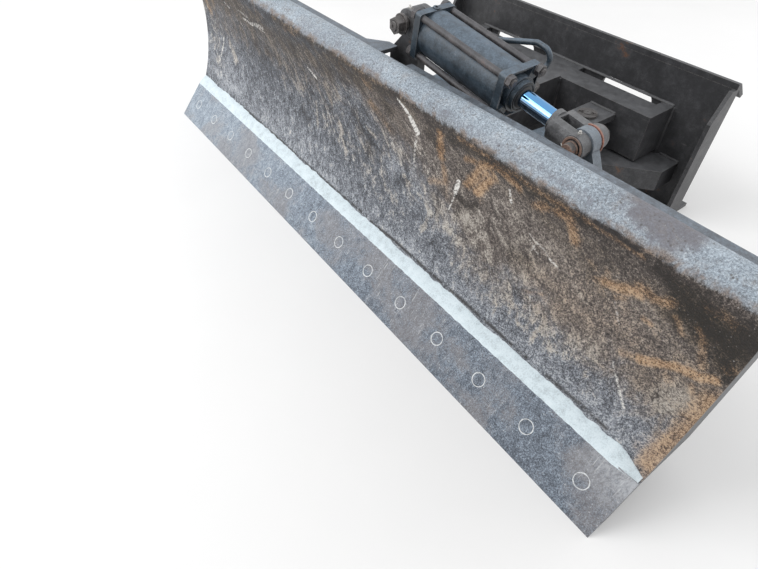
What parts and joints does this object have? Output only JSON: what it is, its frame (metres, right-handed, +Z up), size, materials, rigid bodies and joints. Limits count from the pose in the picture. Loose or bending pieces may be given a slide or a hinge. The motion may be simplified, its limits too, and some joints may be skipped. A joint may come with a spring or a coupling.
{
  "type": "six-way dozer blade attachment",
  "caption": "Curved dozer blade with bolted cutting edge, tilt and angle cylinders, swing head, push frame and quick-attach plate.",
  "frame": {"origin": "bottom centre of the whole part's box, on the ground under the middle of the blade's width", "axes": "+X along the blade, +Y from the cutting edge back to the quick-attach plate, +Z up"},
  "size_m": [2.134, 1.15, 0.674],
  "materials": {
    "blade_steel": "bare steel, rust stains and dry mud, worn",
    "edge_steel": "scoured dark steel with dust",
    "back_paint": "dusty black paint, chipped",
    "frame_paint": "dusty black paint, chipped",
    "cylinder_black": "satin black paint with dust",
    "chrome_rod": "polished",
    "bare_clevis": "bare cast steel, dusty",
    "pin_steel": "worn pin steel, light rust"
  },
  "bodies": {
    "push_frame": {"nose": "frame_paint", "spine": "frame_paint", "cross_beam": "frame_paint", "plate_joiner": "frame_paint", "attach_plate": "frame_paint", "attach_lip": "frame_paint", "attach_foot": "frame_paint", "attach_ribs": "frame_paint", "base_lugs_left": "frame_paint", "base_lugs_right": "frame_paint", "strut_left": "frame_paint", "strut_right": "frame_paint", "angle_base_pin_left": "pin_steel", "angle_base_pin_right": "pin_steel"},
    "swing_head": {"head_face": "frame_paint", "trunnion": "pin_steel", "knuckles": "frame_paint", "swing_pin": "pin_steel", "tilt_tower": "frame_paint", "tower_rib": "frame_paint", "tilt_base_pin": "pin_steel", "arm_lugs_left": "frame_paint", "arm_lugs_right": "frame_paint"},
    "blade": {"moldboard": "blade_steel", "cutting_edge": "edge_steel", "backing_bar": "blade_steel", "edge_bolts": "edge_steel", "back_ribs": "back_paint", "hub_webs": "back_paint", "hub_plate": "back_paint", "hub_tube": "back_paint", "tilt_ear": "bare_clevis", "ear_brackets": "back_paint", "crown_plate": "back_paint", "upper_rail_left": "back_paint", "upper_rail_right": "back_paint", "lower_rail_left": "back_paint", "lower_rail_right": "back_paint", "end_plate_left": "back_paint", "end_plate_right": "back_paint"},
    "tilt_barrel": {"tilt_base_cap": "cylinder_black", "tilt_base_tangs": "bare_clevis", "tilt_fittings": "pin_steel", "tilt_pipe": "cylinder_black", "tilt_front_cap": "cylinder_black", "tilt_tube": "cylinder_black", "tilt_tie_rods": "cylinder_black"},
    "tilt_piston": {"tilt_rod": "chrome_rod", "rod_clevis": "bare_clevis", "rod_pin": "pin_steel"},
    "angle_barrel_left": {"angle_tube_left": "cylinder_black", "angle_gland_left": "cylinder_black"},
    "angle_barrel_right": {"angle_tube_right": "cylinder_black", "angle_gland_right": "cylinder_black"},
    "angle_piston_left": {"angle_rod_left": "chrome_rod", "angle_rod_eye_left": "bare_clevis", "angle_rod_pin_left": "pin_steel"},
    "angle_piston_right": {"angle_rod_right": "chrome_rod", "angle_rod_eye_right": "bare_clevis", "angle_rod_pin_right": "pin_steel"}
  },
  "joints": [
    {"name": "angle", "type": "hinge", "parent": "push_frame", "child": "swing_head", "pos_m": [0, -0.135, 0.25], "axis": [0, 0, 1], "range_deg": [-25, 25]},
    {"name": "tilt", "type": "hinge", "parent": "swing_head", "child": "blade", "pos_m": [0, -0.275, 0.25], "axis": [0, 1, 0], "range_deg": [-8, 8]},
    {"name": "tilt_barrel_swing", "type": "hinge", "parent": "swing_head", "child": "tilt_barrel", "pos_m": [0.034, -0.225, 0.621], "axis": [0, 1, 0], "range_deg": [-7.9, 7.9]},
    {"name": "tilt_rod_slide", "type": "slide", "parent": "tilt_barrel", "child": "tilt_piston", "axis": [0.9899, 0, -0.1415], "range_m": [-0.053, 0.053]},
    {"name": "angle_barrel_swing_right", "type": "hinge", "parent": "push_frame", "child": "angle_barrel_right", "pos_m": [0.26, 0.305, 0.25], "axis": [0, 0, 1], "range_deg": [-0.4, 0.4]},
    {"name": "angle_rod_slide_right", "type": "slide", "parent": "angle_barrel_right", "child": "angle_piston_right", "axis": [-0.1266, -0.9919, 0], "range_m": [-0.0895, 0.0895]},
    {"name": "angle_barrel_swing_left", "type": "hinge", "parent": "push_frame", "child": "angle_barrel_left", "pos_m": [-0.26, 0.305, 0.25], "axis": [0, 0, 1], "range_deg": [-0.4, 0.4]},
    {"name": "angle_rod_slide_left", "type": "slide", "parent": "angle_barrel_left", "child": "angle_piston_left", "axis": [0.1266, -0.9919, 0], "range_m": [-0.0895, 0.0895]}
  ],
  "couplings": [
    {"joint": "tilt_barrel_swing", "follows": "tilt", "ratio": 0.96643},
    {"joint": "tilt_rod_slide", "follows": "tilt", "m_per_rad": 0.37208},
    {"joint": "angle_barrel_swing_right", "follows": "angle", "ratio": 0.00935},
    {"joint": "angle_rod_slide_right", "follows": "angle", "m_per_rad": -0.20219},
    {"joint": "angle_barrel_swing_left", "follows": "angle", "ratio": 0.00935},
    {"joint": "angle_rod_slide_left", "follows": "angle", "m_per_rad": 0.20219}
  ]
}
